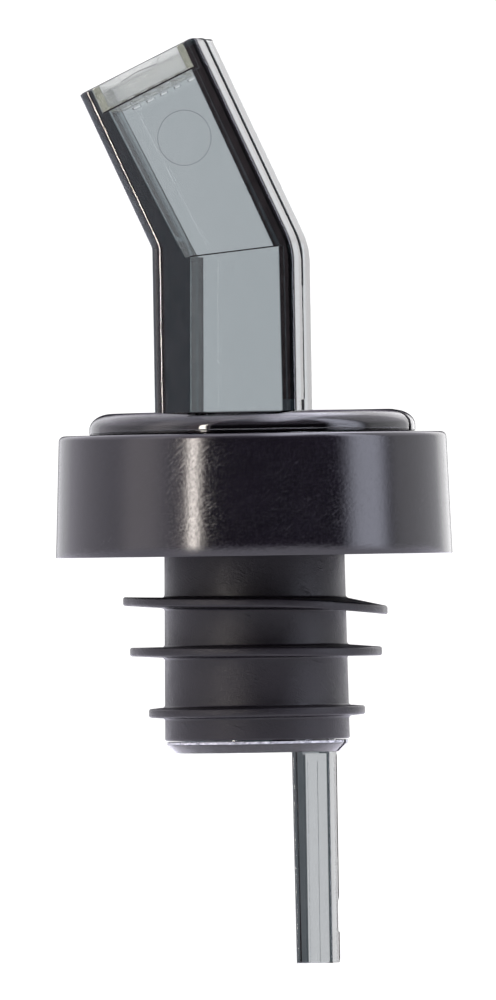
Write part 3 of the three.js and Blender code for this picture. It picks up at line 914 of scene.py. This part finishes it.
def floor_white():
    """Glows white to the camera and through plastic, is matt to other rays, clear from below."""
    material, tree, principled, output = new_material("floor_white")
    rays = add_node(tree, "LightPath").outputs
    glow = add_node(tree, "Emission", {"Color": (1, 1, 1, 1), "Strength": 1.15})
    set_inputs(tree, principled, {"Base Color": (0.86, 0.86, 0.86, 1), "Roughness": 0.9})
    glowing = math_node(tree, "MAXIMUM", rays["Is Camera Ray"], rays["Is Transmission Ray"])
    upper = add_node(tree, "MixShader", {0: glowing, 1: principled.outputs[0],
                                         2: glow.outputs[0]})
    below = add_node(tree, "NewGeometry").outputs["Backfacing"]
    clear = add_node(tree, "BsdfTransparent")
    both = add_node(tree, "MixShader", {0: below, 1: upper.outputs[0], 2: clear.outputs[0]})
    tree.links.new(both.outputs[0], output.inputs[0])
    return material


# ------------------------------------------------------------------ pieces
def dress(ob, material, body, slot_name, *nodes):
    """Gives a piece its material, the body it rides on and the nodes it replaces; slot_name is
    not used.
    """
    ob.data.materials.clear()
    ob.data.materials.append(material)
    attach(ob, body)
    if nodes:
        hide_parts(*nodes)


front, rear = build_shells()
weld_shade = build_weld_shade()
screen = build_screen()
screen_shade = build_screen_shade()
rim_shade = build_rim_shade()
tail_shade = build_tail_shade()
disc_highlight = build_disc_highlight()
tail = build_tail()
stopper = build_stopper()
collar = build_collar()

smoke = smoke_plastic("smoke_plastic", absorption=(722.0, 638.0, 608.0))
tail_smoke = smoke_plastic("tail_smoke", absorption=(900.0, 840.0, 810.0))
natural = natural_plastic()
stopper_material = stopper_black()
collar_material = collar_black()
line = painted_shade_black()
highlight_paint = painted_edge_highlight()

dress(front, smoke, "spout", "smoke_plastic", "spout_front_shell")
dress(rear, smoke, "spout", "smoke_plastic", "spout_rear_shell")
dress(screen, natural, "spout", "screen_plastic", "mouth_screen")
dress(weld_shade, line, "spout", "smoke_plastic")
dress(screen_shade, line, "spout", "screen_plastic")
dress(rim_shade, line, "spout", "smoke_plastic")
dress(tail_shade, line, "spout", "tail_plastic")
dress(disc_highlight, highlight_paint, "spout", "smoke_plastic")
dress(tail, tail_smoke, "spout", "tail_plastic", "breather_tail")
dress(stopper, stopper_material, "stopper", "stopper_plastic", "stopper_sleeve")
dress(collar, collar_material, "collar", "collar_rubber", "collar")

FLOOR_HALF, FLOOR_Z = 4000, -250
floor = make("floor", [(x * FLOOR_HALF, y * FLOOR_HALF, FLOOR_Z)
                       for x, y in ((-1, -1), (1, -1), (1, 1), (-1, 1))], [(0, 1, 2, 3)])
floor.data.materials.append(floor_white())

# ------------------------------------------------------------------ world
world = bpy.data.worlds.new("studio")
scene.world = world
world.use_nodes = True
sky = world.node_tree
sky.nodes.clear()


def times(a, b):
    return math_node(sky, "MULTIPLY", a, b)


def smoothstep(value, low, high):
    return add_node(sky, "MapRange", {"From Min": low, "From Max": high, "Value": value},
                    interpolation_type="SMOOTHSTEP").outputs[0]


def falloff(value, low, high):
    return math_node(sky, "SUBTRACT", 1.0, smoothstep(value, low, high))


def window(value, low, high, soft):
    """1 between low and high, fading to 0 over soft either side of each."""
    return times(smoothstep(value, low - soft, low + soft),
                 falloff(value, high - soft, high + soft))


def panel(azimuths, elevations):
    """A soft-edged rectangle of light; each range is low, high, soft, in degrees."""
    return times(window(azimuth, *azimuths), window(elevation, *elevations))


def light_sum(*parts):
    """Adds up (mask, colour) pairs."""
    total = None
    for mask, colour in parts:
        part = add_node(sky, "VectorMath", {0: colour, "Scale": mask},
                        operation="SCALE").outputs[0]
        if total is None:
            total = part
        else:
            total = add_node(sky, "VectorMath", {0: total, 1: part}, operation="ADD").outputs[0]
    return total


def choose(factor, otherwise, chosen):
    # inputs 6 and 7 and output 2 are the Mix node's colours
    return add_node(sky, "Mix", {0: factor, 6: otherwise, 7: chosen},
                    data_type="RGBA").outputs[2]


world_output = add_node(sky, "OutputWorld")
direction = add_node(sky, "VectorMath", {0: add_node(sky, "TexCoord").outputs["Camera"]},
                     operation="NORMALIZE").outputs[0]
view_x, view_y, view_z = add_node(sky, "SeparateXYZ", {0: direction}).outputs
# azimuth from the direction towards the camera, in degrees, positive to the right
DEGREES = 57.29578
azimuth = times(math_node(sky, "ARCTAN2", view_x, times(view_z, -1.0)), DEGREES)
elevation = times(math_node(sky, "ARCSINE", view_y), DEGREES)
off_axis = math_node(sky, "ABSOLUTE", azimuth)

SIDE = (-50, 60, 12)                       # elevations of the side and rear fills
everywhere = math_node(sky, "ADD", times(off_axis, 0.0), 1.0)
strip = panel((-38.0, -33.4, 0.6), (-30, 22, 6))
right_box = panel((59, 84, 7), (-45, 60, 12))
left_fill = panel((-140, -47, 6), SIDE)
right_fill = panel((90, 170, 5), SIDE)
right_rear = panel((143, 170, 4), SIDE)
left_box = panel((-82, -57, 8), (-45, 50, 12))
left_back = panel((-170, -140, 5), SIDE)
near_fill = times(falloff(azimuth, -31.0, -29.2), smoothstep(azimuth, -50, -44))
top = smoothstep(elevation, 40, 70)
upper_dim = smoothstep(elevation, 10, 28)
over_right = times(times(smoothstep(view_x, -0.05, 0.22), falloff(view_x, 0.25, 0.5)),
                   smoothstep(view_y, 0.6, 0.85))
# a bright field of limited size behind the object
field = times(smoothstep(off_axis, 118, 140), window(elevation, -26, 26, 5))

# what the glossy surfaces see: mask, colour and strength
glow = light_sum(
    (everywhere, (0.055, 0.05, 0.065)),
    (strip, (30.0, 27.8, 25.6)),
    (near_fill, (1.1, 0.95, 1.03)),
    (left_box, (1.0, 0.9, 0.9)),
    (right_box, (4.5, 4.6, 5.4)),
    (left_fill, (1.22, 1.18, 1.3)),
    (right_fill, (1.25, 1.25, 1.3)),
    (right_rear, (0.75, 0.74, 0.7)),
    (left_back, (1.3, 1.3, 1.35)),
    (top, (1.35, 1.35, 1.6)),
    (over_right, (4.0, 4.0, 4.7)),
    (upper_dim, (0.5, 0.46, 0.56)),
)
# what is seen through the clear plastic
through = light_sum(
    (everywhere, (0.035, 0.03, 0.04)),
    (field, (1.0, 1.0, 1.0)),
    (strip, (9.0, 8.4, 7.8)),
    (right_box, (1.2, 1.2, 1.4)),
    (top, (1.0, 1.0, 1.05)),
)
rays = add_node(sky, "LightPath").outputs
BACKDROP = (1.15, 1.15, 1.15, 1)           # what the camera sees directly
seen = choose(rays["Is Transmission Ray"], glow, through)
seen = choose(rays["Is Camera Ray"], seen, BACKDROP)
background = add_node(sky, "Background", {0: seen})
sky.links.new(background.outputs[0], world_output.inputs[0])

# ------------------------------------------------------------------ overhead light (metres)
overhead = bpy.data.lights.new("overhead", "AREA")
overhead.shape = "RECTANGLE"
overhead.size, overhead.size_y = 0.5, 0.35
overhead.energy = 0.5
overhead_ob = bpy.data.objects.new("overhead", overhead)
overhead_ob.location = (0.05, -0.05, 0.65)
scene.collection.objects.link(overhead_ob)

# ------------------------------------------------------------------ camera
CAMERA_DISTANCE = 1984.1 * MILLI
CAMERA_HEIGHT = 36.3 * MILLI
CAMERA_ROLL = math.radians(0.95)
camera_data = bpy.data.cameras.new("camera")
camera = bpy.data.objects.new("camera", camera_data)
scene.collection.objects.link(camera)
camera_data.sensor_fit = "AUTO"
camera_data.sensor_width = 36.0
camera_data.lens = 800.0
camera_data.clip_start, camera_data.clip_end = 0.02, 20
camera_data.shift_x, camera_data.shift_y = -0.0065, 0.057
to_camera = Vector((math.sin(VIEW_AZIMUTH), -math.cos(VIEW_AZIMUTH), 0))
camera.location = Vector((0, 0, CAMERA_HEIGHT)) + to_camera * CAMERA_DISTANCE
camera.rotation_mode = "QUATERNION"
camera.rotation_quaternion = ((-to_camera).to_track_quat("-Z", "Y")
                              @ Matrix.Rotation(-CAMERA_ROLL, 4, "Z").to_quaternion())
scene.camera = camera

# ------------------------------------------------------------------ render settings
scene.view_settings.view_transform = "Standard"
scene.view_settings.look = "None"
scene.cycles.max_bounces = 24
scene.cycles.transmission_bounces = 24
scene.cycles.glossy_bounces = 8
scene.cycles.diffuse_bounces = 4
scene.cycles.caustics_reflective = True
scene.cycles.caustics_refractive = True
